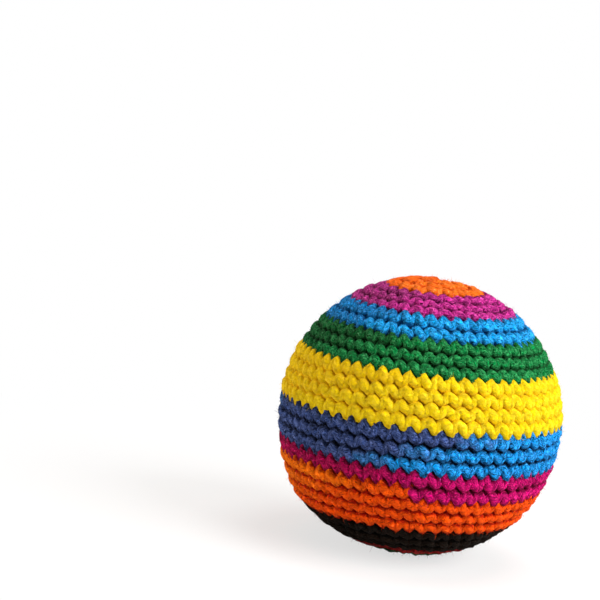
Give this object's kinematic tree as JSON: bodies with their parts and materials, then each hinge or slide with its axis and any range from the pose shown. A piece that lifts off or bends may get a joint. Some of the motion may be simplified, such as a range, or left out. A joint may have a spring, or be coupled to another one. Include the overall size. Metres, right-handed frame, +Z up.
{
  "type": "knitted stress ball",
  "caption": "Round squeeze ball with a striped crocheted yarn cover over a tied liner of soft stuffing, resting on a slightly flattened base.",
  "frame": {"origin": "centre of the flat patch that the ball rests on, straight under the crown", "axes": "+Z up the axis that the crocheted spiral goes round, from its start at the base to its closing at the crown; +X to the right and +Y away in the pictured view, with the colour changes at the back, towards +Y"},
  "size_m": [0.057, 0.057, 0.0552],
  "materials": {
    "orange_yarn": "matte",
    "purple_yarn": "matte",
    "azure_yarn": "matte",
    "green_yarn": "matte",
    "yellow_yarn": "matte",
    "denim_yarn": "matte",
    "magenta_yarn": "matte",
    "deep_orange_yarn": "matte",
    "black_yarn": "matte",
    "red_yarn": "matte",
    "dark_green_yarn": "matte",
    "stocking": "satin",
    "sewing_thread": "matte",
    "fibre_stuffing": "matte"
  },
  "bodies": {
    "root": {"base_green_band": "dark_green_yarn", "red_band": "red_yarn", "black_band": "black_yarn", "lower_orange_band": "deep_orange_yarn", "magenta_band": "magenta_yarn", "denim_band": "denim_yarn", "yellow_band": "yellow_yarn", "green_band": "green_yarn", "azure_band": "azure_yarn", "purple_band": "purple_yarn", "crown_orange_to_purple_knot": "purple_yarn", "purple_to_azure_knot": "azure_yarn", "azure_to_green_knot": "green_yarn", "green_to_yellow_knot": "yellow_yarn", "yellow_to_denim_knot": "denim_yarn", "denim_to_magenta_knot": "magenta_yarn", "magenta_to_lower_orange_knot": "deep_orange_yarn", "lower_orange_to_black_knot": "black_yarn", "black_to_red_knot": "red_yarn", "red_to_base_green_knot": "dark_green_yarn", "start_ring": "dark_green_yarn", "start_tail": "dark_green_yarn", "stocking_liner": "stocking", "liner_tie": "sewing_thread", "stuffing": "fibre_stuffing"},
    "crown": {"crown_orange_band": "orange_yarn", "closing_thread": "orange_yarn", "closing_knot": "orange_yarn"}
  },
  "joints": [
    {"name": "squeeze", "type": "slide", "parent": "root", "child": "crown", "axis": [0, 0, -1], "range_m": [0, 0.018], "stiffness_N_per_m": 2500, "deforming": ["purple_band", "azure_band", "green_band", "yellow_band", "denim_band", "magenta_band", "lower_orange_band", "black_band", "red_band", "stocking_liner", "liner_tie", "stuffing", "crown_orange_to_purple_knot", "purple_to_azure_knot", "azure_to_green_knot", "green_to_yellow_knot", "yellow_to_denim_knot", "denim_to_magenta_knot", "magenta_to_lower_orange_knot", "lower_orange_to_black_knot", "black_to_red_knot"]}
  ]
}
